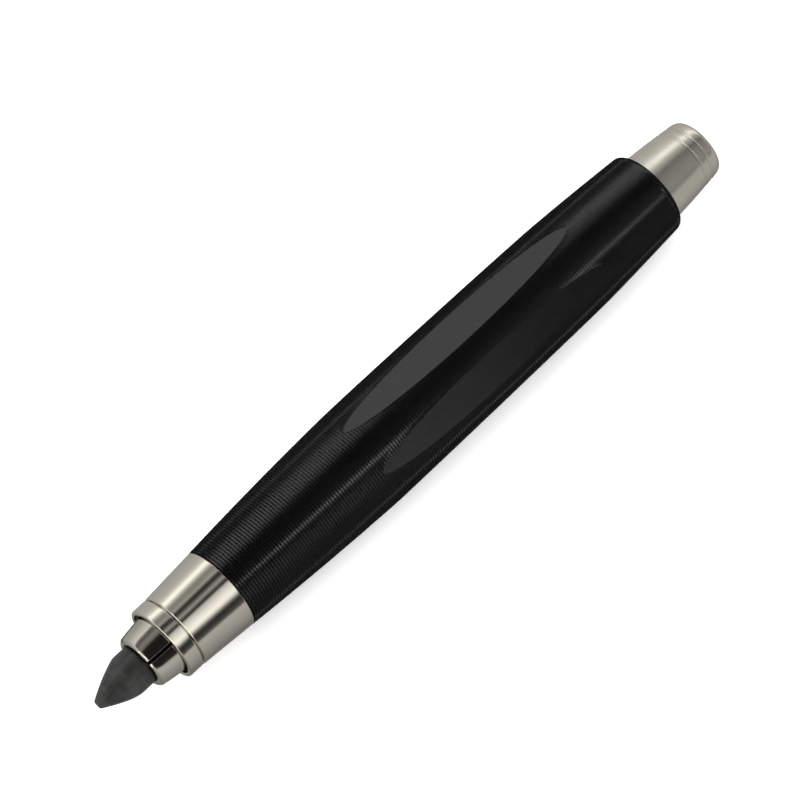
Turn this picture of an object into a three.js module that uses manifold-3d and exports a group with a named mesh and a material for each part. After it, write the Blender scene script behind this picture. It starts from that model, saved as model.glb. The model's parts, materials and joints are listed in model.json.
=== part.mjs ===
// Clutch lead holder for 5.6 mm leads, in millimetres.
// Stations run along X from the point of the lead (0) to the end of the push cap.
// The finished group is shifted so that the middle of that length is the origin.
import * as THREE from 'three';
import { mergeVertices } from 'three/addons/utils/BufferGeometryUtils.js';
import Module from 'manifold-3d';

const wasm = await Module();
wasm.setup();

// ---------- driving dimensions ----------
const LENGTH = 107;
const SIDES = 48;              // facets round a turned piece
const BARREL_SIDES = 72;
const FIT = 0.05;              // radial gap between pieces that fit together
const BUTT = 0.1;              // gap between pieces that meet end to end

const LEAD_R = 2.8;
const LEAD_END = 80;
const POINT_END = 5.3;         // where the sharpened point reaches full size
const POINT_TIP_R = 0.62;
const POINT_SWELL = 1.42;      // how quickly the point fills out: 1 is a plain cone

const JAW_FRONT = 7.4;
const JAW_ROOT = 23;
const JAW_SLOT = 0.45;
const JAW_COUNT = 4;
const JAW_FIRST_ANGLE = 91;    // middle of the first jaw, degrees from -Y towards +Z
const JAW_CREST = 12.6;        // the jaws are fattest here
const JAW_CREST_R = 4.35;
const JAW_NECK = 17;           // end of the closing taper
const JAW_NECK_R = 3.5;

const NOSE_FRONT = 10.8;
const MOUTH_R = 4.68;
const BAND_END = 12.94;
const BAND_R = 5.27;
const CONE_START = 13.12;
const CONE_START_R = 5.31;
const CONE_END_R = 5.83;
const SEAT_END = 17.4;

const BARREL_FRONT = 21.15;
const BARREL_REAR = 97.7;
const BARREL_BELLY = 60.1;     // station of the largest radius
const BARREL_BELLY_R = 7.25;
const BARREL_ARC_R = 541;      // radius of the barrel's long curve
const BARREL_ROUND = 0.8;      // rounding of the rear edge
const BARREL_BORE_R = 4.65;
const NOSE_SOCKET_R = 5.1;
const NOSE_SOCKET_END = 28.5;
const CAP_SOCKET_R = 5.05;
const CAP_SOCKET_START = 91;

const FLAT_COUNT = 6;
const FLAT_START = 44.5;
const FLAT_END = 83.9;

const SLEEVE_OUTER_R = BARREL_BORE_R - FIT;
const SLEEVE_INNER_R = 4.2;
const BUSH_START = 22;
const BUSH_END = 36;
const BUSH_INNER_R = 3.6;
const REAR_BUSH_START = 82;
const REAR_BUSH_END = 90.8;

const TUBE_R = 3.5;
const TUBE_INNER_R = 3.2;
const TUBE_END = 96.4;
const ROOT_STEP = 28;          // the collet ring is thinner behind this

const SPRING_WIRE_R = 0.3;
const SPRING_R = 3.85;
const SPRING_TURNS = 10;
const SPRING_SEAT_THICK = 0.7;
const COLLAR_START = 66;
const COLLAR_END = 68;

const CAP_START = 94.5;
const CAP_SKIRT_R = 4.95;
const CAP_TAPER = 0.05;        // how much the radius shrinks per millimetre where the cap leaves the barrel
const CAP_CURVE = 0.0042;      // and how the taper grows from there
const CAP_ROUND_START = 106.2;
const CAP_END_R = 3.4;
const CAP_GROOVES = [103.85, 105.15];
const CAP_GROOVE_WIDTH = 0.36;
const CAP_GROOVE_DEPTH = 0.12;
const CAP_INNER_R = 4.2;
const CAP_FLOOR_R = 3.1;
const CAP_END_THICK = 1.1;
const POINTER_START = 98.9;
const POINTER_END = 105.4;
const POINTER_TEETH = 6;

// ---------- materials ----------
const metal = (color, roughness) =>
  new THREE.MeshStandardMaterial({ color, roughness, metalness: 1 });
const NICKEL = metal(0xc8c2b8, 0.18);
const SATIN_NICKEL = metal(0xbdb8ae, 0.32);
const BRASS = metal(0xb5975a, 0.35);
const STEEL = metal(0x9a9da0, 0.3);
const BLACK = new THREE.MeshStandardMaterial({ color: 0x0b0b0c, roughness: 0.42, metalness: 0.2 });
const GRAPHITE = new THREE.MeshStandardMaterial({ color: 0x3c3c3f, roughness: 0.5, metalness: 0.3 });

// ---------- solids ----------
// Turns a closed outline of [station, radius] points about the X axis.
function turned(outline, sides = SIDES) {
  const points = outline.map(([x, r]) => new THREE.Vector2(r, x));
  const onAxis = outline[0][1] === 0 && outline.at(-1)[1] === 0;
  if (!onAxis) points.push(points[0].clone());
  if (THREE.ShapeUtils.area(points) < 0) points.reverse();
  const geometry = new THREE.LatheGeometry(points, sides);
  geometry.rotateZ(-Math.PI / 2);
  return geometry;
}

// A plain ring or tube between two stations.
function ring(start, end, inner, outer) {
  return turned([[start, inner], [start, outer], [end, outer], [end, inner]]);
}

function solid(geometry) {
  const bare = geometry.clone();
  bare.deleteAttribute('normal');
  bare.deleteAttribute('uv');
  const merged = mergeVertices(bare, 1e-4);
  return new wasm.Manifold(new wasm.Mesh({
    numProp: 3,
    vertProperties: new Float32Array(merged.attributes.position.array),
    triVerts: new Uint32Array(merged.index.array),
  }));
}

function geometryOf(manifold) {
  const mesh = manifold.getMesh();
  const geometry = new THREE.BufferGeometry();
  geometry.setAttribute('position', new THREE.BufferAttribute(mesh.vertProperties, 3));
  geometry.setIndex(new THREE.BufferAttribute(mesh.triVerts, 1));
  geometry.computeVertexNormals();
  return geometry;
}

// A box from one corner to the other, for cutting.
function block(low, high) {
  const size = high.map((v, i) => v - low[i]);
  const geometry = new THREE.BoxGeometry(...size);
  geometry.translate(...low.map((v, i) => v + size[i] / 2));
  return geometry;
}

function named(name, geometry, material) {
  const mesh = new THREE.Mesh(geometry, material);
  mesh.name = name;
  return mesh;
}

// ---------- lead ----------
// The point is a blunt ogive: it leaves the full radius gently and narrows faster to its end.
function lead() {
  const steps = 8;
  const outline = [[0, 0]];
  for (let i = 0; i <= steps; i += 1) {
    const t = i / steps;
    const swell = 1 - (1 - t) ** POINT_SWELL;
    outline.push([POINT_END * t, POINT_TIP_R + (LEAD_R - POINT_TIP_R) * swell]);
  }
  outline.push([LEAD_END, LEAD_R], [LEAD_END, 0]);
  return named('lead', turned(outline), GRAPHITE);
}

// ---------- collet ----------
const JAW_OUTLINE = [
  [JAW_FRONT, LEAD_R + FIT],
  [JAW_FRONT, 3.55],
  [JAW_FRONT + 0.12, 3.7],
  [JAW_FRONT + 0.4, 3.8],
  [NOSE_FRONT, 4.2],
  [JAW_CREST, JAW_CREST_R],
  [JAW_NECK, JAW_NECK_R],
  [JAW_ROOT, JAW_NECK_R],
  [JAW_ROOT, 3],
  [14.2, 3],
  [14, LEAD_R + FIT],
];

// One finger of the collet: what four saw cuts leave between two of them.
function jaw(number) {
  const reach = 6;
  const cut = JAW_SLOT / 2;
  const corner = block([JAW_FRONT - 1, cut, cut], [JAW_ROOT + 1, reach, reach]);
  corner.rotateX(-Math.PI / 4);
  const angle = JAW_FIRST_ANGLE + (number - 1) * (360 / JAW_COUNT);
  corner.rotateX(THREE.MathUtils.degToRad(180 - angle));
  const finger = solid(turned(JAW_OUTLINE)).intersect(solid(corner));
  return named(`collet_jaw_${number}`, geometryOf(finger), NICKEL);
}

function colletRing() {
  const start = JAW_ROOT + BUTT;
  const outline = [
    [start, 3],
    [start, TUBE_R],
    [ROOT_STEP, TUBE_R],
    [ROOT_STEP, TUBE_INNER_R - FIT],
    [ROOT_STEP + 5, TUBE_INNER_R - FIT],
    [ROOT_STEP + 5, 2.95],
    [start + 1, 2.95],
  ];
  return named('collet_ring', turned(outline), NICKEL);
}

// ---------- pushing parts ----------
function pushTube() {
  return named('push_tube', ring(ROOT_STEP + BUTT, TUBE_END, TUBE_INNER_R, TUBE_R), BRASS);
}

function springCollar() {
  const collar = ring(COLLAR_START, COLLAR_END, TUBE_R + FIT, SLEEVE_INNER_R - FIT);
  return named('spring_collar', collar, BRASS);
}

class Helix extends THREE.Curve {
  constructor(start, end) {
    super();
    this.start = start;
    this.end = end;
  }

  getPoint(t) {
    const angle = 2 * Math.PI * SPRING_TURNS * t;
    const x = this.start + (this.end - this.start) * t;
    return new THREE.Vector3(x, SPRING_R * Math.cos(angle), SPRING_R * Math.sin(angle));
  }
}

function returnSpring() {
  const room = SPRING_WIRE_R + BUTT;
  const front = BUSH_END + BUTT + SPRING_SEAT_THICK + room;
  const wire = new THREE.Shape();
  wire.absarc(0, 0, SPRING_WIRE_R, 0, 2 * Math.PI);
  const geometry = new THREE.ExtrudeGeometry(wire, {
    steps: SPRING_TURNS * 18,
    curveSegments: 3,
    extrudePath: new Helix(front, COLLAR_START - room),
  });
  return named('return_spring', geometry, STEEL);
}

// ---------- nose ----------
function frontBand() {
  const spigotR = 4.7;
  const taper = (JAW_CREST_R - JAW_NECK_R) / (JAW_NECK - JAW_CREST);
  const seatStart = 12.75;
  const edge = 0.28;
  const seatR = (x) => JAW_CREST_R + 0.08 - taper * (x - JAW_CREST);
  const outline = [
    [NOSE_FRONT, MOUTH_R],
    [NOSE_FRONT, BAND_R - edge],
    [NOSE_FRONT + edge * 0.3, BAND_R - edge * 0.3],
    [NOSE_FRONT + edge, BAND_R],
    [BAND_END, BAND_R],
    [BAND_END, spigotR],
    [SEAT_END, spigotR],
    [SEAT_END, seatR(JAW_NECK)],
    [JAW_NECK, seatR(JAW_NECK)],
    [seatStart, seatR(seatStart)],
    [seatStart - 0.2, MOUTH_R],
  ];
  return named('front_band', turned(outline), NICKEL);
}

function noseCone() {
  const edge = 0.12;
  const outline = [
    [CONE_START, 4.75],
    [CONE_START, CONE_START_R - edge],
    [CONE_START + edge, CONE_START_R],
    [BARREL_FRONT - BUTT - edge, CONE_END_R],
    [BARREL_FRONT - BUTT, CONE_END_R - edge],
    [BARREL_FRONT - BUTT, NOSE_SOCKET_R - FIT],
    [NOSE_SOCKET_END - BUTT, NOSE_SOCKET_R - FIT],
    [NOSE_SOCKET_END - BUTT, BARREL_BORE_R],
    [BUSH_START - BUTT, BARREL_BORE_R],
    [BUSH_START - BUTT, 4],
    [SEAT_END + BUTT, 4],
    [SEAT_END + BUTT, 4.75],
  ];
  return named('nose_cone', turned(outline), NICKEL);
}

// ---------- barrel ----------
function barrelR(x) {
  return BARREL_BELLY_R - (x - BARREL_BELLY) ** 2 / (2 * BARREL_ARC_R);
}

function barrel() {
  const steps = 20;
  const outline = [[BARREL_FRONT, NOSE_SOCKET_R]];
  const curveEnd = BARREL_REAR - BARREL_ROUND;
  for (let i = 0; i <= steps; i += 1) {
    const x = BARREL_FRONT + (curveEnd - BARREL_FRONT) * (i / steps);
    outline.push([x, barrelR(x)]);
  }
  for (let i = 1; i <= 3; i += 1) {
    const turn = (i / 3) * (Math.PI / 2);
    const drop = BARREL_ROUND * (1 - Math.cos(turn));
    outline.push([curveEnd + BARREL_ROUND * Math.sin(turn), barrelR(curveEnd) - drop]);
  }
  outline.push(
    [BARREL_REAR, CAP_SOCKET_R],
    [CAP_SOCKET_START, CAP_SOCKET_R],
    [CAP_SOCKET_START, BARREL_BORE_R],
    [NOSE_SOCKET_END, BARREL_BORE_R],
    [NOSE_SOCKET_END, NOSE_SOCKET_R],
  );
  let body = solid(turned(outline, BARREL_SIDES));
  for (let i = 0; i < FLAT_COUNT; i += 1) {
    body = body.subtract(solid(flatCutter((i * 2 * Math.PI) / FLAT_COUNT)));
  }
  return named('barrel', geometryOf(body), BLACK);
}

// A block whose underside is the plane of one flat: the chord between the barrel's radii at its ends.
function flatCutter(angle) {
  const frontR = barrelR(FLAT_START);
  const rearR = barrelR(FLAT_END);
  const slope = Math.atan2(frontR - rearR, FLAT_END - FLAT_START);
  const cutter = block([-40, -8, 0], [60, 8, 4]);
  cutter.rotateY(slope);
  cutter.translate(FLAT_START, 0, frontR);
  cutter.rotateX(angle);
  return cutter;
}

function threadBush() {
  return named('thread_bush', ring(BUSH_START, BUSH_END, BUSH_INNER_R, SLEEVE_OUTER_R), BRASS);
}

function springSeat() {
  const start = BUSH_END + BUTT;
  const washer = ring(start, start + SPRING_SEAT_THICK, BUSH_INNER_R, SLEEVE_INNER_R - FIT);
  return named('spring_seat', washer, STEEL);
}

function innerSleeve() {
  const sleeve = ring(BUSH_END + BUTT, REAR_BUSH_START - BUTT, SLEEVE_INNER_R, SLEEVE_OUTER_R);
  return named('inner_sleeve', sleeve, BRASS);
}

function rearBush() {
  const bush = ring(REAR_BUSH_START, REAR_BUSH_END, BUSH_INNER_R, SLEEVE_OUTER_R);
  return named('rear_bush', bush, BRASS);
}

// ---------- cap ----------
function capR(x) {
  const out = x - BARREL_REAR;
  return CAP_SKIRT_R - CAP_TAPER * out - CAP_CURVE * out * out;
}

function pushCap() {
  const floor = LENGTH - CAP_END_THICK;
  const outline = [
    [floor, 0],
    [floor, CAP_FLOOR_R],
    [BARREL_REAR, CAP_INNER_R],
    [CAP_START, CAP_INNER_R],
    [CAP_START, CAP_SKIRT_R],
    [BARREL_REAR, CAP_SKIRT_R],
    [BARREL_REAR + 2, capR(BARREL_REAR + 2)],
    [BARREL_REAR + 4, capR(BARREL_REAR + 4)],
  ];
  for (const middle of CAP_GROOVES) {
    const half = CAP_GROOVE_WIDTH / 2;
    outline.push([middle - half, capR(middle - half)]);
    outline.push([middle, capR(middle) - CAP_GROOVE_DEPTH]);
    outline.push([middle + half, capR(middle + half)]);
  }
  const steps = 5;
  for (let i = 0; i <= steps; i += 1) {
    const turn = (i / steps) * (Math.PI / 2);
    const x = CAP_ROUND_START + (LENGTH - CAP_ROUND_START) * Math.sin(turn);
    outline.push([x, CAP_END_R + (capR(CAP_ROUND_START) - CAP_END_R) * Math.cos(turn)]);
  }
  outline.push([LENGTH, 0]);
  return named('push_cap', turned(outline), SATIN_NICKEL);
}

function capBush() {
  const bush = ring(CAP_START + 0.2, BARREL_REAR - BUTT, TUBE_R + FIT, CAP_INNER_R - FIT);
  return named('cap_bush', bush, BRASS);
}

// The pointer is a conical cutter inside the cap, with teeth along its cone.
function pointer() {
  const mouthR = LEAD_R + 0.1;
  const bottomR = 0.8;
  const outline = [
    [POINTER_END, 0],
    [POINTER_START + POINT_END, 0],
    [POINTER_START + POINT_END, bottomR],
    [POINTER_START, mouthR],
    [POINTER_START, 3.95],
    [POINTER_END, 3.05],
  ];
  let body = solid(turned(outline));
  for (let i = 0; i < POINTER_TEETH; i += 1) {
    const groove = block([POINTER_START - 1, -0.15, 0], [POINTER_START + 4.4, 0.15, mouthR + 0.4]);
    groove.rotateX((i * 2 * Math.PI) / POINTER_TEETH);
    body = body.subtract(solid(groove));
  }
  return named('lead_pointer', geometryOf(body), STEEL);
}

// ---------- assembly ----------
const holder = new THREE.Group();
holder.position.x = -LENGTH / 2;
holder.add(lead());
for (let number = 1; number <= JAW_COUNT; number += 1) holder.add(jaw(number));
holder.add(colletRing(), pushTube(), springCollar(), returnSpring(), springSeat());
holder.add(frontBand(), noseCone(), barrel(), threadBush(), innerSleeve(), rearBush());
holder.add(pushCap(), capBush(), pointer());

export default holder;
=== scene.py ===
import json
import math
import random

import bmesh
import bpy
from mathutils import Matrix, Vector

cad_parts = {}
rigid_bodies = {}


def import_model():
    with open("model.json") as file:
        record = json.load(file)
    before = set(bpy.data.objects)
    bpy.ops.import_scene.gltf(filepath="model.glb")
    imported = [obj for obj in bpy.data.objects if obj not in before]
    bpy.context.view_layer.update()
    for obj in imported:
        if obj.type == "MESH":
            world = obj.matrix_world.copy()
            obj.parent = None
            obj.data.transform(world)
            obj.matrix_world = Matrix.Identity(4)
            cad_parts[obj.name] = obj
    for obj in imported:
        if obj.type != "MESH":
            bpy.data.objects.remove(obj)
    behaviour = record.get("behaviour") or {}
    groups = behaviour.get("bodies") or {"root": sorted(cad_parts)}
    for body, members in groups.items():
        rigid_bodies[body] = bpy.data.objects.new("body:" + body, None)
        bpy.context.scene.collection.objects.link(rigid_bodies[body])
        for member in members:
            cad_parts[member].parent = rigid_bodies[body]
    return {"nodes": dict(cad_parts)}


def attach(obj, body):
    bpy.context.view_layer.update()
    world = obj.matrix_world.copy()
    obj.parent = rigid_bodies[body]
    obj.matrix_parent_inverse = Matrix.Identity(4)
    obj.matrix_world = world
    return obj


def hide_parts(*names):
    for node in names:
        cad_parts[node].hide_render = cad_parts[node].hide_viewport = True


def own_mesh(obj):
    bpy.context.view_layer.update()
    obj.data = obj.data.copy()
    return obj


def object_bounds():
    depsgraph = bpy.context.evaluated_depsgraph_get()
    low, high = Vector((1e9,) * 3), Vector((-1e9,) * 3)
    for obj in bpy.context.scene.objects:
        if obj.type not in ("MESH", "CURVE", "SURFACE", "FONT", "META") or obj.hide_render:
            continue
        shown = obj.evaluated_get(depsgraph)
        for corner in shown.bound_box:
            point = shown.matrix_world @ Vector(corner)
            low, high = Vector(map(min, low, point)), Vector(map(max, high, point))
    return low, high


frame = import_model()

# Stations count from the point of the lead towards the cap. They and all radii are in millimetres.
# The holder's axis is the frame's X axis.
CAD_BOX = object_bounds()
POINT_X = CAD_BOX[0][0]
FLOOR_Z = CAD_BOX[0][2]
MM = 0.001
TINY = 0.000001
SEGMENTS = 128                      # mesh columns round a turned piece

LEAD_R = 2.8
LEAD_END = 80.0
LEAD_CHAMFER = 0.25
LEAD_CHAMFER_LENGTH = 0.3
LEAD_COLUMNS = 144
POINT_END = 5.3
POINT_STEPS = 40
POINT_TIP_R = 0.62
POINT_SWELL = 1.42                  # above 1, the point's sides bulge
POINT_ASIDE = 0.15                  # how far the tip stands off the axis, towards the low side
STROKE_COUNT = 9
STROKE_SEED = 5
STROKE_DRIFT = 0.2                  # how unevenly they are spaced, as a share of their spacing
STROKE_DEEPEST = 0.93               # share of the radius that a stroke leaves
STROKE_SHALLOWEST = 0.985
STROKE_REACH = 0.5                  # cosine of the angle beyond which a stroke can't cut

JAW_FRONT = 7.4
JAW_ROOT = 23.0
JAW_SLOT = 0.45
JAW_FIRST_ANGLE = 91.0              # degrees
JAW_COLUMNS = 22
JAW_EDGE = 0.05                     # width of the soft edges
GRIP_R = LEAD_R + 0.05              # the jaws stop just short of the lead
NECK_BORE_R = 3.0
NECK_R = 3.5

NOSE_FRONT = 10.8
MOUTH_R = 4.68
BAND_END = 12.94
BAND_R = 5.27
BAND_TAIL_END = 17.4                # the tail is out of sight inside the cone
BAND_TAIL_R = 4.7
BAND_BORE_R = 3.58
SEAT_START = 12.75                  # the jaws close in the conical seat behind the mouth
SEAT_END = 17.0
SEAT_R = 4.4
MOUTH_END = 12.55
CONE_START = 13.12
CONE_START_R = 5.31
CONE_CHAMFER = 0.15
CONE_CHAMFER_LENGTH = 0.13
CONE_END = 21.05
CONE_END_R = 5.83
CONE_SOCKET_END = 17.5              # the socket takes the band's tail
CONE_SOCKET_R = 4.75
CONE_BORE_R = 4.0
CONE_SPIGOT_END = 28.4              # the spigot is out of sight inside the barrel
CONE_SPIGOT_R = 5.05
THREAD_START = 21.9
THREAD_R = 4.65

BARREL_FRONT = 21.15
BARREL_REAR = 97.7
BARREL_BORE = (                     # station, radius, from the rear to the front
    (BARREL_REAR, 5.05), (91.0, 5.05), (91.0, 4.65), (28.5, 4.65), (28.5, 5.1), (BARREL_FRONT, 5.1),
)
BELLY = 60.1
BELLY_R = 7.25
BARREL_ARC_R = 541.0
SHOULDER = 0.8
SHOULDER_STEPS = 8
FLAT_START = 44.5
FLAT_END = 83.9
FLAT_COUNT = 6
SECTOR = 360.0 / FLAT_COUNT         # degrees from the middle of one flat to the middle of the next
FLAT_COLUMNS = 7                    # mesh columns of a flat and its borders
RIB_COLUMNS = 8                     # and of the ribs between two flats
SECTOR_COLUMNS = FLAT_COLUMNS + RIB_COLUMNS
EDGE_COLUMNS = (1, 5)               # those of the seven that run along the edges of the flat
BARREL_COLUMNS = FLAT_COUNT * SECTOR_COLUMNS
EVEN_OFFSETS = tuple(k * SECTOR / SECTOR_COLUMNS for k in range(-3, SECTOR_COLUMNS - 3))
GATHER_REACH = 8.0                  # columns are even from this far beyond a flat's ends
LEAST_EDGE = 1.6                    # degrees from a flat's middle to the columns of its edge, at least
BORDER = 0.5                        # degrees that the grooves take to run out beside a flat
CRISP_FROM = 2.0                    # degrees; where a flat is narrower its edges are shaded softly
RIB_PITCH = 0.42
RIB_DEPTH = 0.055
RIB_TOP = 0.6                       # share of the pitch that is not groove
FIRST_RIB = 0.08                    # behind the barrel's front, whose edge is chamfered
FRONT_CHAMFER = 0.06
LAST_RIB_SPARE = 0.1

CAP_START = 94.5
CAP_END = 107.0
CAP_SKIRT_R = 4.95
CAP_TAPER = 0.05
CAP_CURVE = 0.0042
CAP_FACE_R = 3.4
CAP_CROWN = 0.8                     # length of the rounded end
CAP_RIM = 0.22
CAP_RIM_R = 3.95
CAP_HOLLOW_END = 105.9
CAP_HOLLOW_R = 3.1
CAP_BORE_R = 4.2
CAP_GROOVES = (103.85, 105.15)
GROOVE_HALF = 0.25
GROOVE_FLOOR_HALF = 0.08
GROOVE_DEPTH = 0.2

SPRING_START = 36.8
SPRING_END = 66.0
SPRING_R = 3.85
SPRING_WIRE_R = 0.3
SPRING_GAP = 0.1                    # between the wire and its seats
SPRING_TURNS = 10
TURN_STEPS = 36
WIRE_SIDES = 10

VIEW_TILT = math.radians(17.6)      # the lead's end leans this much towards the camera
VIEW_ROUND = math.radians(56.5)     # how far round the axis the camera stands, from -Y towards +Z
VIEW_ROLL = math.radians(42.83)     # the axis rises this much across the picture
VIEW_DISTANCE = 0.541
VIEW_STATION = 54.34                # the station that the camera looks at
VIEW_ASIDE = 2.04                   # how far it looks to one side of the axis, in mm
PICTURE_WIDTH = 800
VIEW_SCALE = 8.033                  # picture points to a millimetre there, in a picture of that width
LOW_SIDE = VIEW_ROUND - math.pi / 2  # the side of the holder that is lowest in the picture


def place(x, radius, angle):
    """A point in the frame from station, radius in mm and angle about the axis from +Y towards +Z."""
    return (POINT_X + x * MM, radius * math.cos(angle) * MM, radius * math.sin(angle) * MM)


# ---------- materials ----------
# Painted shade on the lead: its colour and gloss are darkened where a neighbouring piece stands close.
NEAR_REACH = 0.0012                 # metres within which a neighbour darkens the lead with painted shade
NEAR_COVERED = 0.55                 # openness below which it is darkest
NEAR_OPEN = 0.82                    # openness above which it is not darkened
PAINTED_SHADE_DARKEST = 0.1
FLOOR_GLOW = 0.35
NOISE_LOW = 0.3                     # most of a noise texture's values lie between these
NOISE_HIGH = 0.7
TINT_LOW = 0.32
TINT_HIGH = 0.68


def new_material(name):
    material = bpy.data.materials.new(name)
    material.use_nodes = True
    tree = material.node_tree
    return material, tree, tree.nodes["Principled BSDF"]


def add_node(tree, kind, **settings):
    node = tree.nodes.new(kind)
    for key, value in settings.items():
        if key in node.inputs:
            node.inputs[key].default_value = value
        else:
            setattr(node, key, value)
    return node


def stretched_noise(tree, scale, detail=4.0, rough=0.55):
    """Noise in the piece's own coordinates; the scale is how finely it is grained along each axis."""
    coords = add_node(tree, "ShaderNodeTexCoord")
    mapping = add_node(tree, "ShaderNodeMapping")
    mapping.inputs["Scale"].default_value = scale
    noise = add_node(tree, "ShaderNodeTexNoise", Scale=1.0, Detail=detail, Roughness=rough)
    tree.links.new(coords.outputs["Object"], mapping.inputs["Vector"])
    tree.links.new(mapping.outputs["Vector"], noise.inputs["Vector"])
    return noise.outputs["Fac"]


def spread(tree, value, low, high):
    """Maps a noise value to the range low to high."""
    node = add_node(tree, "ShaderNodeMapRange")
    node.inputs["From Min"].default_value = NOISE_LOW
    node.inputs["From Max"].default_value = NOISE_HIGH
    node.inputs["To Min"].default_value = low
    node.inputs["To Max"].default_value = high
    tree.links.new(value, node.inputs["Value"])
    return node.outputs["Result"]


def tint(tree, value, dark, light):
    ramp = add_node(tree, "ShaderNodeValToRGB")
    ramp.color_ramp.elements[0].position = TINT_LOW
    ramp.color_ramp.elements[0].color = (*dark, 1.0)
    ramp.color_ramp.elements[1].position = TINT_HIGH
    ramp.color_ramp.elements[1].color = (*light, 1.0)
    tree.links.new(value, ramp.inputs["Fac"])
    return ramp.outputs["Color"]


def add_bump(tree, shader, height, strength, distance):
    bump = add_node(tree, "ShaderNodeBump", Strength=strength, Distance=distance)
    tree.links.new(height, bump.inputs["Height"])
    tree.links.new(bump.outputs["Normal"], shader.inputs["Normal"])


def turned_metal(name, dark, light, low_rough, high_rough, ring_depth):
    """Plated or bare metal with the fine rings that a lathe leaves, and slightly uneven gloss."""
    material, tree, shader = new_material(name)
    shader.inputs["Metallic"].default_value = 1.0
    cloud = stretched_noise(tree, (180.0, 420.0, 420.0))
    tree.links.new(tint(tree, cloud, dark, light), shader.inputs["Base Color"])
    smudge = stretched_noise(tree, (650.0, 300.0, 300.0), detail=6.0)
    tree.links.new(spread(tree, smudge, low_rough, high_rough), shader.inputs["Roughness"])
    rings = stretched_noise(tree, (26000.0, 60.0, 60.0), detail=2.0)
    add_bump(tree, shader, rings, 0.35, ring_depth)
    return material


def black_lacquer():
    material, tree, shader = new_material("black_lacquer")
    cloud = stretched_noise(tree, (90.0, 500.0, 500.0))
    tree.links.new(tint(tree, cloud, (0.0018, 0.0018, 0.002), (0.003, 0.003, 0.0033)),
                   shader.inputs["Base Color"])
    haze = stretched_noise(tree, (1500.0, 900.0, 900.0), detail=6.0)
    tree.links.new(spread(tree, haze, 0.17, 0.21), shader.inputs["Roughness"])
    grain = stretched_noise(tree, (9000.0, 9000.0, 9000.0), detail=2.0)
    add_bump(tree, shader, grain, 0.1, 0.000001)
    return material


def painted_contact_shade(tree):
    """Painted shade for the lead: a factor that falls to its lowest where a neighbour stands close over the
    surface, and is 1 in the open.
    """
    nearness = add_node(tree, "ShaderNodeAmbientOcclusion", samples=16)
    nearness.inputs["Distance"].default_value = NEAR_REACH
    shade = add_node(tree, "ShaderNodeMapRange")
    shade.inputs["From Min"].default_value = NEAR_COVERED
    shade.inputs["From Max"].default_value = NEAR_OPEN
    shade.inputs["To Min"].default_value = PAINTED_SHADE_DARKEST
    shade.inputs["To Max"].default_value = 1.0
    tree.links.new(nearness.outputs["AO"], shade.inputs["Value"])
    return shade.outputs["Result"]


def graphite():
    """Pressed graphite: cloudy, with faint rings where the pointer turned round it, and painted shade that
    darkens its colour and gloss where the jaws or other pieces stand close.
    """
    material, tree, shader = new_material("graphite")
    shader.inputs["Metallic"].default_value = 0.25
    cloud = stretched_noise(tree, (420.0, 560.0, 560.0), detail=5.0, rough=0.6)
    rings = stretched_noise(tree, (2400.0, 150.0, 150.0), detail=3.0)
    mixed = add_node(tree, "ShaderNodeMath", operation="MULTIPLY_ADD")
    mixed.inputs[1].default_value = 0.45
    tree.links.new(rings, mixed.inputs[0])
    tree.links.new(spread(tree, cloud, 0.0, 0.55), mixed.inputs[2])
    cloudy = tint(tree, mixed.outputs[0], (0.015, 0.0152, 0.0142), (0.034, 0.0344, 0.0316))
    # Painted shade: scales the lead's base colour down, and its specular level with it, where neighbours
    # stand close.
    painted_shade_factor = painted_contact_shade(tree)
    shaded = add_node(tree, "ShaderNodeVectorMath", operation="SCALE")
    tree.links.new(cloudy, shaded.inputs[0])
    tree.links.new(painted_shade_factor, shaded.inputs["Scale"])
    tree.links.new(shaded.outputs[0], shader.inputs["Base Color"])
    halved = add_node(tree, "ShaderNodeMath", operation="MULTIPLY")
    halved.inputs[1].default_value = 0.5
    tree.links.new(painted_shade_factor, halved.inputs[0])
    tree.links.new(halved.outputs[0], shader.inputs["Specular IOR Level"])
    tree.links.new(spread(tree, cloud, 0.36, 0.5), shader.inputs["Roughness"])
    grain = stretched_noise(tree, (3800.0, 3800.0, 3800.0), detail=6.0, rough=0.7)
    add_bump(tree, shader, grain, 0.35, 0.00002)
    return material


def pale_floor():
    material, tree, shader = new_material("pale_floor")
    shader.inputs["Roughness"].default_value = 0.9
    shader.inputs["Specular IOR Level"].default_value = 0.0
    paper = stretched_noise(tree, (14.0, 14.0, 14.0))
    white = tint(tree, paper, (0.9, 0.9, 0.9), (0.915, 0.915, 0.915))
    tree.links.new(white, shader.inputs["Base Color"])
    shader.inputs["Emission Color"].default_value = (1.0, 1.0, 1.0, 1.0)
    shader.inputs["Emission Strength"].default_value = FLOOR_GLOW
    return material


NICKEL = turned_metal("polished_nickel", (0.66, 0.62, 0.535), (0.72, 0.68, 0.595), 0.09, 0.13, 0.000003)
SATIN_NICKEL = turned_metal("satin_nickel", (0.62, 0.59, 0.505), (0.68, 0.65, 0.565), 0.19, 0.25, 0.000006)
BRASS = turned_metal("turned_brass", (0.62, 0.45, 0.2), (0.74, 0.56, 0.28), 0.24, 0.36, 0.00001)
SPRING_STEEL = turned_metal("spring_steel", (0.4, 0.4, 0.41), (0.56, 0.56, 0.57), 0.22, 0.34, 0.000004)
LACQUER = black_lacquer()
GRAPHITE = graphite()


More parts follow.
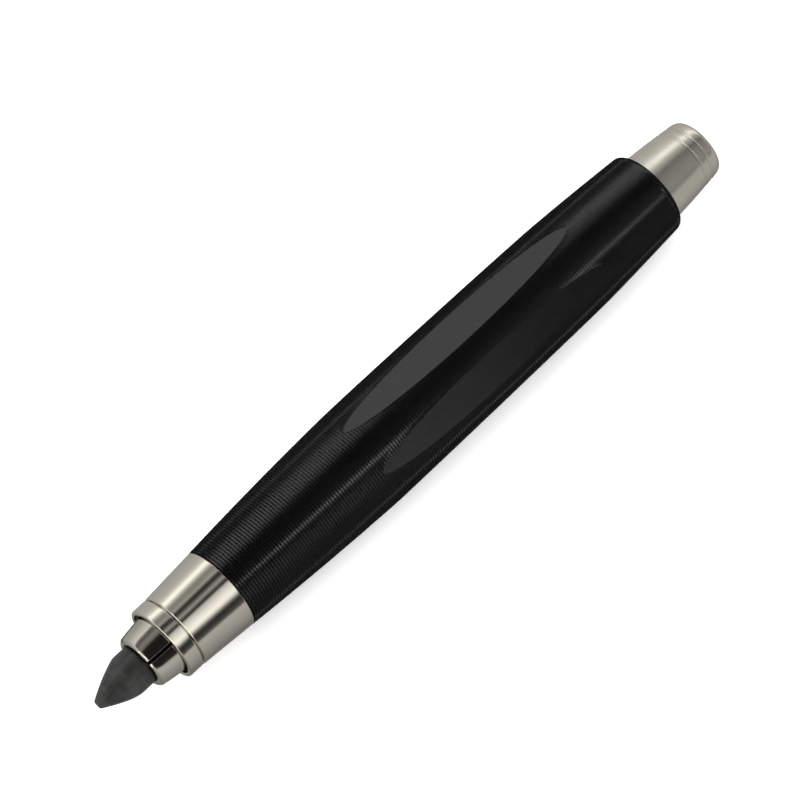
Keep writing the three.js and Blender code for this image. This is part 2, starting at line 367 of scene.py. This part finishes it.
# ---------- meshes ----------
def rounded(corners, steps=5):
    """Turns (station, radius, fillet) corners of a closed outline into points, with curves at the fillets."""
    points = []
    count = len(corners)
    for i, (x, r, fillet) in enumerate(corners):
        here = Vector((x, r))
        if fillet == 0:
            points.append(here)
            continue
        before = Vector(corners[i - 1][:2]) - here
        after = Vector(corners[(i + 1) % count][:2]) - here
        start = here + before.normalized() * min(fillet, before.length * 0.45)
        end = here + after.normalized() * min(fillet, after.length * 0.45)
        for k in range(steps + 1):
            t = k / steps
            points.append(start * (1 - t) ** 2 + here * 2 * t * (1 - t) + end * t ** 2)
    return points


def densify(points, longest=0.6):
    """Splits long straight runs, so that smooth shading stays true next to the fillets."""
    dense = []
    count = len(points)
    for i, point in enumerate(points):
        following = points[(i + 1) % count]
        parts = max(1, math.ceil((following - point).length / longest))
        dense.extend(point.lerp(following, k / parts) for k in range(parts))
    return dense


def make_object(name, vertices, faces, material):
    mesh = bpy.data.meshes.new(name)
    mesh.from_pydata(vertices, [], faces)
    mesh.update()
    piece = bpy.data.objects.new(name, mesh)
    bpy.context.scene.collection.objects.link(piece)
    mesh.materials.append(material)
    mesh.polygons.foreach_set("use_smooth", [True] * len(mesh.polygons))
    return piece


def weigh_normals(piece, sharp_degrees=40.0):
    piece.data.set_sharp_from_angle(angle=math.radians(sharp_degrees))
    modifier = piece.modifiers.new("even_normals", "WEIGHTED_NORMAL")
    modifier.keep_sharp = True
    modifier.weight = 80


def join_rings(near, far, columns):
    """Faces between two closed rings of vertices, which start at the indices near and far."""
    faces = []
    for k in range(columns):
        n = (k + 1) % columns
        faces.append([near + k, near + n, far + n, far + k])
    return faces


def stand_for(piece, body, node):
    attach(piece, body)
    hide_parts(node)


def add_ring(vertices, x, radius):
    """Adds a ring of vertices and gives their indices; a ring on the axis is one vertex, many times over."""
    start = len(vertices)
    if radius < TINY:
        vertices.append(place(x, 0.0, 0.0))
        return [start] * SEGMENTS
    vertices.extend(place(x, radius, 2 * math.pi * k / SEGMENTS) for k in range(SEGMENTS))
    return list(range(start, start + SEGMENTS))


def revolve(name, corners, material):
    """A turned piece from a closed outline; an outline whose ends have radius 0 closes on the axis."""
    on_axis = corners[0][1] == 0 and corners[-1][1] == 0
    outline = rounded(corners)
    dense = densify(outline)
    if on_axis:
        last = next(i for i, p in enumerate(dense) if i and p == outline[-1])
        dense = dense[:last + 1]
    vertices = []
    rings = [add_ring(vertices, point.x, point.y) for point in dense]
    following = rings[1:] if on_axis else rings[1:] + rings[:1]
    faces = []
    for near, far in zip(rings, following):
        for k in range(SEGMENTS):
            n = (k + 1) % SEGMENTS
            face = [near[k], near[n], far[n], far[k]]
            faces.append([v for i, v in enumerate(face) if v not in face[:i]])
    piece = make_object(name, vertices, faces, material)
    face_outwards(piece)
    weigh_normals(piece)
    return piece


def face_outwards(piece):
    work = bmesh.new()
    work.from_mesh(piece.data)
    bmesh.ops.recalc_face_normals(work, faces=work.faces)
    work.to_mesh(piece.data)
    work.free()


# ---------- lead ----------
def point_strokes():
    """(angle, share of the radius left) of the flat strokes that the pointer cut on the point."""
    draw = random.Random(STROKE_SEED)
    strokes = []
    for k in range(STROKE_COUNT):
        angle = 2 * math.pi * (k + draw.uniform(-STROKE_DRIFT, STROKE_DRIFT)) / STROKE_COUNT
        strokes.append((angle, draw.uniform(STROKE_DEEPEST, STROKE_SHALLOWEST)))
    return strokes


def point_radius(t, angle, strokes):
    """Radius at the share t of the point's length, cut down where a stroke faces the angle."""
    ogive = POINT_TIP_R + (LEAD_R - POINT_TIP_R) * (1 - (1 - t) ** POINT_SWELL)
    radius = ogive
    if t < 1.0:
        for stroke, share in strokes:
            facing = math.cos(angle - stroke)
            if facing > STROKE_REACH:
                radius = min(radius, ogive * (share + (1 - share) * t ** 3) / facing)
    return radius


def lead_stations():
    """Close together along the point and just behind it, and far apart from there on."""
    stations = [POINT_END * (k / POINT_STEPS) for k in range(POINT_STEPS + 1)]
    stations += [POINT_END + 0.4 * k for k in range(1, 9)]
    return stations + [20.0, 40.0, 60.0, LEAD_END - LEAD_CHAMFER_LENGTH, LEAD_END]


def lead():
    """The lead, with its blunt point a little to one side."""
    strokes = point_strokes()
    stations = lead_stations()
    lean = math.pi - LOW_SIDE
    aside = Vector((0.0, math.cos(lean), math.sin(lean)))
    vertices = [place(0.0, 0.0, 0.0)]
    for x in stations:
        t = min(x / POINT_END, 1.0)
        chamfer = LEAD_CHAMFER if x == LEAD_END else 0.0
        offset = POINT_ASIDE * (1 - t ** 4)
        for k in range(LEAD_COLUMNS):
            angle = 2 * math.pi * k / LEAD_COLUMNS
            point = Vector(place(x, point_radius(t, angle, strokes) - chamfer, angle))
            vertices.append(tuple(point + aside * offset * MM))
    faces = [[0, 1 + (k + 1) % LEAD_COLUMNS, 1 + k] for k in range(LEAD_COLUMNS)]
    for i in range(len(stations) - 1):
        start = 1 + i * LEAD_COLUMNS
        faces += join_rings(start, start + LEAD_COLUMNS, LEAD_COLUMNS)
    end = 1 + (len(stations) - 1) * LEAD_COLUMNS
    faces.append([end + k for k in range(LEAD_COLUMNS)])
    piece = make_object("graphite_lead", vertices, faces, GRAPHITE)
    face_outwards(piece)
    piece.data.set_sharp_from_angle(angle=math.radians(40))
    stand_for(piece, "lead", "lead")


# ---------- collet ----------
JAW_STATIONS = (                    # station, inner radius, outer radius
    (JAW_FRONT - 0.1, 2.98, 3.44),
    (JAW_FRONT - 0.06, 2.88, 3.49),
    (JAW_FRONT + 0.12, GRIP_R, 3.69),
    (JAW_FRONT + 0.22, GRIP_R, 3.77),
    (8.6, GRIP_R, 3.94),
    (NOSE_FRONT, GRIP_R, 4.2),
    (11.6, GRIP_R, 4.28),
    (12.5, GRIP_R, 4.35),
    (12.8, GRIP_R, 4.31),
    (14.0, GRIP_R, 4.08),
    (14.3, NECK_BORE_R, 4.02),
    (17.0, NECK_BORE_R, NECK_R),
    (20.0, NECK_BORE_R, NECK_R),
    (JAW_ROOT, NECK_BORE_R, NECK_R),
)


def jaw(number):
    """One finger of the collet, between two saw cuts with parallel sides."""
    middle = math.pi - math.radians(JAW_FIRST_ANGLE + 90.0 * (number - 1))
    vertices = []
    for x, inner, outer in JAW_STATIONS:
        for radius, way in ((outer, 1), (inner, -1)):
            reach = math.pi / 4 - math.asin(JAW_SLOT / 2 / radius)
            for k in range(JAW_COLUMNS + 1):
                share = 2 * k / JAW_COLUMNS - 1
                vertices.append(place(x, radius, middle + way * share * reach))
    loop = 2 * (JAW_COLUMNS + 1)
    rear = (len(JAW_STATIONS) - 1) * loop
    faces = []
    for start in range(0, rear, loop):
        faces += join_rings(start, start + loop, loop)
    for start in (0, rear):
        for k in range(JAW_COLUMNS):
            faces.append([start + k, start + k + 1, start + loop - 2 - k, start + loop - 1 - k])
    piece = make_object(f"jaw_finger_{number}", vertices, faces, NICKEL)
    face_outwards(piece)
    soften_edges(piece)
    weigh_normals(piece, 50.0)
    stand_for(piece, f"jaw_{number}", f"collet_jaw_{number}")


def soften_edges(piece):
    bevel = piece.modifiers.new("soft_edges", "BEVEL")
    bevel.width = JAW_EDGE * MM
    bevel.segments = 2
    bevel.limit_method = "ANGLE"
    bevel.angle_limit = math.radians(50)


# ---------- nose ----------
def front_band():
    corners = [
        (NOSE_FRONT, MOUTH_R, 0.08), (NOSE_FRONT, BAND_R, 0.3), (BAND_END, BAND_R, 0.18),
        (BAND_END, BAND_TAIL_R, 0), (BAND_TAIL_END, BAND_TAIL_R, 0.1), (BAND_TAIL_END, BAND_BORE_R, 0.05),
        (SEAT_END, BAND_BORE_R, 0), (SEAT_START, SEAT_R, 0), (MOUTH_END, MOUTH_R, 0),
    ]
    stand_for(revolve("mouth_band", corners, NICKEL), "holder", "front_band")


def nose_cone():
    corners = [
        (CONE_START, CONE_SOCKET_R, 0), (CONE_START, CONE_START_R - CONE_CHAMFER, 0.02),
        (CONE_START + CONE_CHAMFER_LENGTH, CONE_START_R, 0.03), (CONE_END, CONE_END_R, 0.16),
        (CONE_END, CONE_SPIGOT_R, 0), (CONE_SPIGOT_END, CONE_SPIGOT_R, 0.2), (CONE_SPIGOT_END, THREAD_R, 0),
        (THREAD_START, THREAD_R, 0), (THREAD_START, CONE_BORE_R, 0), (CONE_SOCKET_END, CONE_BORE_R, 0),
        (CONE_SOCKET_END, CONE_SOCKET_R, 0),
    ]
    stand_for(revolve("plated_cone", corners, NICKEL), "holder", "nose_cone")


# ---------- barrel ----------
def barrel_radius(x):
    return BELLY_R - (x - BELLY) ** 2 / (2 * BARREL_ARC_R)


def flat_radius(x):
    """Distance of a flat's plane from the axis: the chord between the barrel's radii at the flat's ends."""
    share = (x - FLAT_START) / (FLAT_END - FLAT_START)
    return barrel_radius(FLAT_START) * (1 - share) + barrel_radius(FLAT_END) * share


def half_angle(x, surface):
    """Degrees from the middle of a flat to its edge, on a surface of that radius."""
    ratio = flat_radius(x) / surface
    return math.degrees(math.acos(ratio)) if ratio < 1 else 0.0


def column_offsets(x, surface_top):
    """Angles of a sector's mesh columns from the middle of its flat, gathered along the flat's edges."""
    outside = max(FLAT_START - x, x - FLAT_END, 0.0)
    near = max(0.0, 1 - outside / GATHER_REACH)
    near = near * near * (3 - 2 * near)
    edge = max(half_angle(x, surface_top), LEAST_EDGE)
    border = edge + BORDER
    gathered = [-border, -edge, -edge / 2, 0.0, edge / 2, edge, border]
    gathered += [border + (SECTOR - 2 * border) * k / (RIB_COLUMNS + 1) for k in range(1, RIB_COLUMNS + 1)]
    return [math.radians(e + (g - e) * near) for e, g in zip(EVEN_OFFSETS, gathered)]


def sector_angles(offsets):
    """The same offsets from the middle of each flat, as angles about the axis."""
    angles = []
    for sector in range(FLAT_COUNT):
        middle = math.pi / 2 + sector * math.pi / 3
        angles.extend(middle + offset for offset in offsets)
    return angles


def barrel_stations():
    """(station, radius at the rib tops, depth below them) along the outside; each rib ends in a V groove."""
    stations = [(BARREL_FRONT, barrel_radius(BARREL_FRONT), FRONT_CHAMFER)]
    shoulder_start = BARREL_REAR - SHOULDER
    ribs = int((shoulder_start - BARREL_FRONT - LAST_RIB_SPARE) / RIB_PITCH)
    for k in range(ribs):
        start = BARREL_FRONT + FIRST_RIB + k * RIB_PITCH
        for share, depth in ((0.0, 0.0), (RIB_TOP, 0.0), ((1 + RIB_TOP) / 2, RIB_DEPTH)):
            x = start + share * RIB_PITCH
            stations.append((x, barrel_radius(x), depth))
    for k in range(SHOULDER_STEPS + 1):
        turn = k / SHOULDER_STEPS * math.pi / 2
        x = shoulder_start + SHOULDER * math.sin(turn)
        stations.append((x, barrel_radius(shoulder_start) - SHOULDER * (1 - math.cos(turn)), 0.0))
    return stations


def barrel_ring(x, top, depth):
    """Vertices round the outside: on a flat's plane between its edges, and on the ribs elsewhere."""
    offsets = column_offsets(x, top)
    plane = flat_radius(x)
    radii = []
    for offset in offsets:
        from_flat = min(abs(offset), abs(offset - math.pi / 3))
        cut = plane / math.cos(from_flat)
        radii.append(cut if cut <= top + TINY else top - depth)
    return [place(x, radius, angle) for radius, angle in zip(radii * FLAT_COUNT, sector_angles(offsets))]


def barrel():
    outside = barrel_stations()
    vertices = []
    for x, top, depth in outside:
        vertices += barrel_ring(x, top, depth)
    even = sector_angles([math.radians(offset) for offset in EVEN_OFFSETS])
    for x, radius in BARREL_BORE:
        vertices += [place(x, radius, angle) for angle in even]
    count = len(outside) + len(BARREL_BORE)
    faces = []
    for i in range(count):
        following = (i + 1) % count
        faces += join_rings(i * BARREL_COLUMNS, following * BARREL_COLUMNS, BARREL_COLUMNS)
    piece = make_object("ribbed_barrel", vertices, faces, LACQUER)
    face_outwards(piece)
    piece.data.set_sharp_from_angle(angle=math.radians(30))
    sharpen_flat_edges(piece.data, outside)
    stand_for(piece, "holder", "barrel")


def sharpen_flat_edges(mesh, outside):
    """Keeps the shading crisp along the edge between each flat and the ribs."""
    wanted = set()
    for i, (x, top, _) in enumerate(outside[:-1]):
        if half_angle(x, top) < CRISP_FROM:
            continue
        for sector in range(FLAT_COUNT):
            for column in EDGE_COLUMNS:
                k = i * BARREL_COLUMNS + sector * SECTOR_COLUMNS + column
                wanted.add((k, k + BARREL_COLUMNS))
    sharp = mesh.attributes.get("sharp_edge") or mesh.attributes.new("sharp_edge", "BOOLEAN", "EDGE")
    for edge in mesh.edges:
        if tuple(sorted(edge.vertices)) in wanted:
            sharp.data[edge.index].value = True


# ---------- cap ----------
def cap_radius(x):
    out = x - BARREL_REAR
    return CAP_SKIRT_R - CAP_TAPER * out - CAP_CURVE * out * out


def groove_corners(middle):
    floor = cap_radius(middle) - GROOVE_DEPTH
    front = middle - GROOVE_HALF
    rear = middle + GROOVE_HALF
    return [
        (front, cap_radius(front), 0.04), (middle - GROOVE_FLOOR_HALF, floor, 0.03),
        (middle + GROOVE_FLOOR_HALF, floor, 0.03), (rear, cap_radius(rear), 0.03),
    ]


def push_cap():
    corners = [
        (CAP_HOLLOW_END, 0.0, 0), (CAP_HOLLOW_END, CAP_HOLLOW_R, 0), (BARREL_REAR, CAP_BORE_R, 0),
        (CAP_START, CAP_BORE_R, 0.05), (CAP_START, CAP_SKIRT_R, 0.15),
    ]
    corners += [(BARREL_REAR + k, cap_radius(BARREL_REAR + k), 0) for k in range(6)]
    for middle in CAP_GROOVES:
        corners += groove_corners(middle)
    corners += [
        (CAP_END - CAP_CROWN, cap_radius(CAP_END - CAP_CROWN), 0.3), (CAP_END - CAP_RIM, CAP_RIM_R, 0.45),
        (CAP_END, CAP_FACE_R, 0.25), (CAP_END, 0.0, 0),
    ]
    stand_for(revolve("plated_cap", corners, SATIN_NICKEL), "cap", "push_cap")


# ---------- spring ----------
def return_spring():
    steps = SPRING_TURNS * TURN_STEPS
    start = SPRING_START + SPRING_WIRE_R + SPRING_GAP
    length = SPRING_END - SPRING_START - 2 * (SPRING_WIRE_R + SPRING_GAP)
    vertices = []
    for i in range(steps + 1):
        t = i / steps
        angle = 2 * math.pi * SPRING_TURNS * t
        for k in range(WIRE_SIDES):
            turn = 2 * math.pi * k / WIRE_SIDES
            x = start + length * t + SPRING_WIRE_R * math.sin(turn)
            vertices.append(place(x, SPRING_R + SPRING_WIRE_R * math.cos(turn), angle))
    faces = [list(range(WIRE_SIDES)), list(range(steps * WIRE_SIDES, (steps + 1) * WIRE_SIDES))]
    for i in range(steps):
        faces += join_rings(i * WIRE_SIDES, (i + 1) * WIRE_SIDES, WIRE_SIDES)
    piece = make_object("coil_spring", vertices, faces, SPRING_STEEL)
    face_outwards(piece)
    piece.data.set_sharp_from_angle(angle=math.radians(60))
    stand_for(piece, "holder", "return_spring")
    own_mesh(piece)


# ---------- nodes that keep their CAD shape ----------
def finish_inner_nodes():
    looks = {
        "collet_ring": NICKEL, "push_tube": BRASS, "spring_collar": BRASS, "spring_seat": SPRING_STEEL,
        "thread_bush": BRASS, "inner_sleeve": BRASS, "rear_bush": BRASS, "cap_bush": BRASS,
        "lead_pointer": SPRING_STEEL,
    }
    for name, material in looks.items():
        for slot in frame["nodes"][name].material_slots:
            slot.material = material


# ---------- stage ----------
FLOOR_HALF = 4.0                    # metres from the middle of the floor to its sides


def round_the_axis(angle):
    """Unit vector across the axis, at an angle from the camera's side towards the picture's lower right."""
    turn = VIEW_ROUND - angle
    return Vector((0.0, -math.cos(turn), math.sin(turn)))


def add_floor():
    mesh = bpy.data.meshes.new("floor")
    corners = [(FLOOR_HALF * x, FLOOR_HALF * y, FLOOR_Z) for x, y in ((-1, -1), (1, -1), (1, 1), (-1, 1))]
    mesh.from_pydata(corners, [], [[0, 1, 2, 3]])
    mesh.materials.append(pale_floor())
    floor = bpy.data.objects.new("floor", mesh)
    bpy.context.scene.collection.objects.link(floor)
    floor.visible_glossy = False


# Each group of pieces mirrors a light tent of its own. Its brightness round the holder's axis is listed as
# degrees from the camera's side, towards the picture's lower right, and light.
JAW_BANDS = (
    (-180, 0.25), (-110, 0.46), (-82, 0.72), (-74, 0.85), (-66, 0.19), (-58, 0.13), (-46, 0.27), (-36, 0.24),
    (-27, 0.03), (-20, 0.015), (57, 0.02), (66, 0.56), (74, 0.55), (100, 0.4), (150, 0.22), (180, 0.25),
)
NOSE_BANDS = (
    (-180, 0.35), (-130, 0.48), (-100, 0.56), (-86, 0.8), (-78, 1.42), (-71, 1.4), (-64, 0.66),
    (-56, 0.3), (-47, 0.31), (-40, 0.46), (-35, 0.1), (-30, 0.02), (-25, 0.1), (-17, 0.42), (-11, 0.09),
    (-5, 0.02), (-2, 0.55), (3, 0.8), (12, 1.05), (24, 1.34), (31, 0.98), (37, 0.27), (43, 0.04), (52, 0.04),
    (62, 0.12), (67, 0.55), (75, 0.52), (100, 0.4), (140, 0.2), (180, 0.25),
)
CAP_BANDS = (
    (-180, 0.4), (-138, 0.5), (-91, 0.62), (-74, 0.8), (-62, 1.33), (-54, 1.38), (-45, 0.78), (-37, 0.46),
    (-27, 0.38), (-20, 0.16), (0, 0.26), (25, 0.32), (44, 0.34), (52, 0.19), (60, 0.5), (80, 0.52),
    (110, 0.47), (140, 0.3), (180, 0.3),
)
BARREL_BANDS = (
    (-180, 0.02), (-125, 0.05), (-106, 0.07), (-92, 0.17), (-84, 0.36), (-76, 0.95), (-70, 1.15),
    (-66, 1.2), (-60, 1.32), (-50, 1.27), (-42, 1.0), (-36, 0.42), (-30, 0.08), (-25, 0.02), (-10, 0.02),
    (0, 0.07), (10, 0.12), (26, 0.1), (32, 0.1), (38, 0.84), (46, 0.96), (58, 0.94), (66, 0.72), (75, 0.4),
    (90, 0.16), (110, 0.06), (125, 0.04), (180, 0.02),
)
BARREL_REAR_BANDS = (
    (-180, 0.02), (-125, 0.04), (-106, 0.06), (-92, 0.13), (-84, 0.3), (-76, 0.95), (-70, 1.15),
    (-66, 1.2), (-60, 1.2), (-50, 0.85), (-42, 0.55), (-36, 0.25), (-30, 0.05), (-25, 0.02), (-10, 0.02),
    (0, 0.12), (10, 0.22), (26, 0.2), (32, 0.1), (38, 0.06), (46, 0.05), (58, 0.05), (66, 0.08), (75, 0.12),
    (90, 0.12), (110, 0.05), (125, 0.03), (180, 0.02),
)
DIM_START = 32
DIM_END = 75
DIM_SHARE = 0.5
# In front, the ribs' lower side is darker than the lower flat.
BARREL_FRONT_BANDS = tuple(
    (angle, light * (DIM_SHARE if DIM_START <= angle <= DIM_END else 1.0)) for angle, light in BARREL_BANDS
)
# Where along the frame each change of the barrel's bands starts and ends, in metres, and what it leads to.
BARREL_CHANGES = ((0.165, 0.195, BARREL_BANDS), (0.222, 0.257, BARREL_REAR_BANDS))
# Strips whose mirror images run along the barrel: mm beside the axis at its front and rear, width, light.
# The width is in degrees round the axis.
STRIPS = (
    ("upper_strip", -5.55, -5.75, 3.0, 1.6),
    ("middle_strip", 1.0, 1.85, 4.6, 4.2),
    ("lower_strip", 5.95, 6.1, 3.0, 1.25),
)
STRIP_R = 0.57                      # metres, as are the tents' radii and ends below
STRIP_STEPS = 12
STRIP_SINE_LIMIT = 0.96             # keeps a strip's mirror image off the barrel's very outline
JAW_TENT_R = 0.6
NOSE_TENT_R = 0.63
CAP_TENT_R = 0.66
BARREL_TENT_R = 0.69
TENT_END = 1.5
BARREL_TENT_FRONT = -0.45           # so near that the grooves between the ribs mirror the dark beyond it
TENT_SIDES = 72
# Discs that close the ends of a tent: group, radius, light in front and behind.
DISCS = (
    ("jaws", JAW_TENT_R, 2.6, 0.3),
    ("nose", NOSE_TENT_R, 3.0, 1.5),
    ("cap", CAP_TENT_R, 3.2, 0.5),
)
GROUPS = ("jaws", "nose", "cap", "barrel")
GROUP_OF = {"ribbed_barrel": "barrel", "mouth_band": "nose", "plated_cone": "nose"}
SKY_LIGHT = 1.6
LAMP_SIZE = 3.0
LAMP_ENERGY = 4.0
LAMP_PLACE = (-0.2, -0.4, 2.2)


def glow_material(name):
    """Clear film that gives light: what is behind it is lit and seen as well."""
    material = bpy.data.materials.new(name)
    material.use_nodes = True
    tree = material.node_tree
    tree.nodes.clear()
    glow = add_node(tree, "ShaderNodeEmission", Strength=1.0)
    clear = add_node(tree, "ShaderNodeBsdfTransparent")
    both = add_node(tree, "ShaderNodeAddShader")
    output = add_node(tree, "ShaderNodeOutputMaterial")
    tree.links.new(glow.outputs[0], both.inputs[0])
    tree.links.new(clear.outputs[0], both.inputs[1])
    tree.links.new(both.outputs[0], output.inputs["Surface"])
    material.cycles.emission_sampling = "NONE"
    return material, glow


def plain_glow(name, light):
    material, glow = glow_material(name)
    glow.inputs["Color"].default_value = (light, light, light, 1.0)
    return material


def share_round_the_axis(tree):
    """Angle round the holder's axis, from 0 to 1, with the camera's side at a half."""
    geometry = add_node(tree, "ShaderNodeNewGeometry")
    parts = []
    for direction in (round_the_axis(math.pi / 2), round_the_axis(0.0)):
        dot = add_node(tree, "ShaderNodeVectorMath", operation="DOT_PRODUCT")
        dot.inputs[1].default_value = direction
        tree.links.new(geometry.outputs["Position"], dot.inputs[0])
        parts.append(dot.outputs["Value"])
    turn = add_node(tree, "ShaderNodeMath", operation="ARCTAN2")
    tree.links.new(parts[0], turn.inputs[0])
    tree.links.new(parts[1], turn.inputs[1])
    share = add_node(tree, "ShaderNodeMath", operation="MULTIPLY_ADD")
    share.inputs[1].default_value = 1 / (2 * math.pi)
    share.inputs[2].default_value = 0.5
    tree.links.new(turn.outputs[0], share.inputs[0])
    return share.outputs[0]


def band_ramp(tree, share, bands):
    ramp = add_node(tree, "ShaderNodeValToRGB")
    elements = ramp.color_ramp.elements
    while len(elements) < len(bands):
        elements.new(1.0)
    for element, (degrees, light) in zip(elements, bands):
        element.position = (degrees + 180) / 360
        element.color = (light, light, light, 1.0)
    tree.links.new(share, ramp.inputs["Fac"])
    return ramp.outputs["Color"]


def banded_glow(name, bands, changes):
    """Light in bands round the axis, with changes along it as BARREL_CHANGES lists them."""
    material, glow = glow_material(name)
    tree = material.node_tree
    share = share_round_the_axis(tree)
    geometry = add_node(tree, "ShaderNodeNewGeometry")
    place_along = add_node(tree, "ShaderNodeSeparateXYZ")
    tree.links.new(geometry.outputs["Position"], place_along.inputs[0])
    light = band_ramp(tree, share, bands)
    for start, end, next_bands in changes:
        progress = add_node(tree, "ShaderNodeMapRange")
        progress.inputs["From Min"].default_value = start
        progress.inputs["From Max"].default_value = end
        tree.links.new(place_along.outputs["X"], progress.inputs["Value"])
        mixed = add_node(tree, "ShaderNodeMixRGB")
        tree.links.new(progress.outputs["Result"], mixed.inputs["Fac"])
        tree.links.new(light, mixed.inputs["Color1"])
        tree.links.new(band_ramp(tree, share, next_bands), mixed.inputs["Color2"])
        light = mixed.outputs["Color"]
    tree.links.new(light, glow.inputs["Color"])
    return material


def hang_light(name, vertices, faces, material, lit):
    """A glowing shape that only the pieces in lit mirror; the camera and the floor don't see it."""
    mesh = bpy.data.meshes.new(name)
    mesh.from_pydata(vertices, [], faces)
    mesh.materials.append(material)
    light = bpy.data.objects.new(name, mesh)
    bpy.context.scene.collection.objects.link(light)
    light.visible_camera = False
    light.visible_diffuse = False
    light.visible_shadow = False
    light.light_linking.receiver_collection = lit


def tent_ring(end, tent_r):
    ring = []
    for k in range(TENT_SIDES):
        across = round_the_axis(2 * math.pi * k / TENT_SIDES) * tent_r
        ring.append((end, across.y, across.z))
    return ring


def hang_tent(name, bands, tent_r, lit, changes=(), front_end=-TENT_END):
    vertices = tent_ring(front_end, tent_r) + tent_ring(TENT_END, tent_r)
    faces = join_rings(0, TENT_SIDES, TENT_SIDES)
    hang_light(name, vertices, faces, banded_glow(name, bands, changes), lit)


def hang_disc(name, end, light, tent_r, lit):
    """Closes one end of a tent, so that faces which look along the axis mirror light too."""
    hang_light(name, tent_ring(end, tent_r), [list(range(TENT_SIDES))], plain_glow(name, light), lit)


def mirror_lean(station):
    """How far a line of sight leans towards the cap once the barrel has mirrored it at a station."""
    off_centre = (station - VIEW_STATION) * MM * math.cos(VIEW_TILT)
    slope = (BELLY - station) / BARREL_ARC_R
    return VIEW_TILT + math.atan(off_centre / VIEW_DISTANCE) - 2 * slope


def hang_strip(name, front_aside, rear_aside, width, light, lit):
    """A narrow lamp along the barrel, bent so that its mirror image there is a nearly straight line."""
    vertices = []
    for k in range(STRIP_STEPS + 1):
        share = k / STRIP_STEPS
        station = BARREL_FRONT + (BARREL_REAR - BARREL_FRONT) * share
        aside = front_aside + (rear_aside - front_aside) * share
        sine = max(-STRIP_SINE_LIMIT, min(STRIP_SINE_LIMIT, aside / barrel_radius(station)))
        turn = math.degrees(2 * math.asin(sine))
        x = POINT_X + station * MM + STRIP_R * math.tan(mirror_lean(station))
        for edge in (-width / 2, width / 2):
            across = round_the_axis(math.radians(turn + edge)) * STRIP_R
            vertices.append((x, across.y, across.z))
    faces = [[2 * i, 2 * i + 1, 2 * i + 3, 2 * i + 2] for i in range(STRIP_STEPS)]
    hang_light(name, vertices, faces, plain_glow(name, light), lit)


def group_the_pieces():
    """Collections of the pieces that share a tent; what is out of sight inside goes with the cap."""
    groups = {name: bpy.data.collections.new(f"lit_{name}") for name in GROUPS}
    for piece in list(bpy.context.scene.objects):
        if piece.type != "MESH" or piece.name == "floor":
            continue
        group = "jaws" if piece.name.startswith("jaw_finger") else GROUP_OF.get(piece.name, "cap")
        groups[group].objects.link(piece)
    return groups


def light_the_studio():
    lit = group_the_pieces()
    hang_tent("jaw_tent", JAW_BANDS, JAW_TENT_R, lit["jaws"])
    hang_tent("nose_tent", NOSE_BANDS, NOSE_TENT_R, lit["nose"])
    hang_tent("cap_tent", CAP_BANDS, CAP_TENT_R, lit["cap"])
    hang_tent("barrel_tent", BARREL_FRONT_BANDS, BARREL_TENT_R, lit["barrel"],
              BARREL_CHANGES, BARREL_TENT_FRONT)
    for name, front_aside, rear_aside, width, light in STRIPS:
        hang_strip(name, front_aside, rear_aside, width, light, lit["barrel"])
    for name, tent_r, front_light, rear_light in DISCS:
        hang_disc(f"{name}_front_disc", -TENT_END, front_light, tent_r, lit[name])
        hang_disc(f"{name}_rear_disc", TENT_END, rear_light, tent_r, lit[name])


def add_sky():
    world = bpy.data.worlds.new("studio")
    bpy.context.scene.world = world
    world.use_nodes = True
    background = world.node_tree.nodes["Background"]
    background.inputs["Color"].default_value = (1.0, 1.0, 1.0, 1.0)
    background.inputs["Strength"].default_value = SKY_LIGHT
    world.cycles_visibility.glossy = False


def add_overhead_light():
    """Brings the floor up to white; the metal doesn't mirror it."""
    lamp = bpy.data.lights.new("overhead", "AREA")
    lamp.shape = "SQUARE"
    lamp.size = LAMP_SIZE
    lamp.energy = LAMP_ENERGY
    light = bpy.data.objects.new("overhead", lamp)
    light.location = LAMP_PLACE
    light.rotation_euler = (-Vector(light.location)).to_track_quat("-Z", "Y").to_euler()
    light.visible_glossy = False
    bpy.context.scene.collection.objects.link(light)


def add_camera():
    away = round_the_axis(0.0) * math.cos(VIEW_TILT) - Vector((math.sin(VIEW_TILT), 0.0, 0.0))
    along = (Vector((1.0, 0.0, 0.0)) - away * away.x).normalized()
    across = away.cross(along)
    right = along * math.cos(VIEW_ROLL) - across * math.sin(VIEW_ROLL)
    up = along * math.sin(VIEW_ROLL) + across * math.cos(VIEW_ROLL)
    target = Vector(place(VIEW_STATION, 0.0, 0.0)) + across * VIEW_ASIDE * MM
    camera = bpy.data.cameras.new("camera")
    camera.sensor_width = 36.0
    camera.lens = camera.sensor_width * VIEW_DISTANCE * VIEW_SCALE / MM / PICTURE_WIDTH
    camera.clip_start = 0.05
    camera.clip_end = 20.0
    holder = bpy.data.objects.new("camera", camera)
    turn = Matrix((right, up, away)).transposed().to_4x4()
    holder.matrix_world = Matrix.Translation(target + away * VIEW_DISTANCE) @ turn
    bpy.context.scene.collection.objects.link(holder)
    bpy.context.scene.camera = holder


lead()
for jaw_number in range(1, 5):
    jaw(jaw_number)
front_band()
nose_cone()
barrel()
push_cap()
return_spring()
finish_inner_nodes()
add_floor()
light_the_studio()
add_sky()
add_overhead_light()
add_camera()
bpy.context.scene.view_settings.view_transform = "Standard"
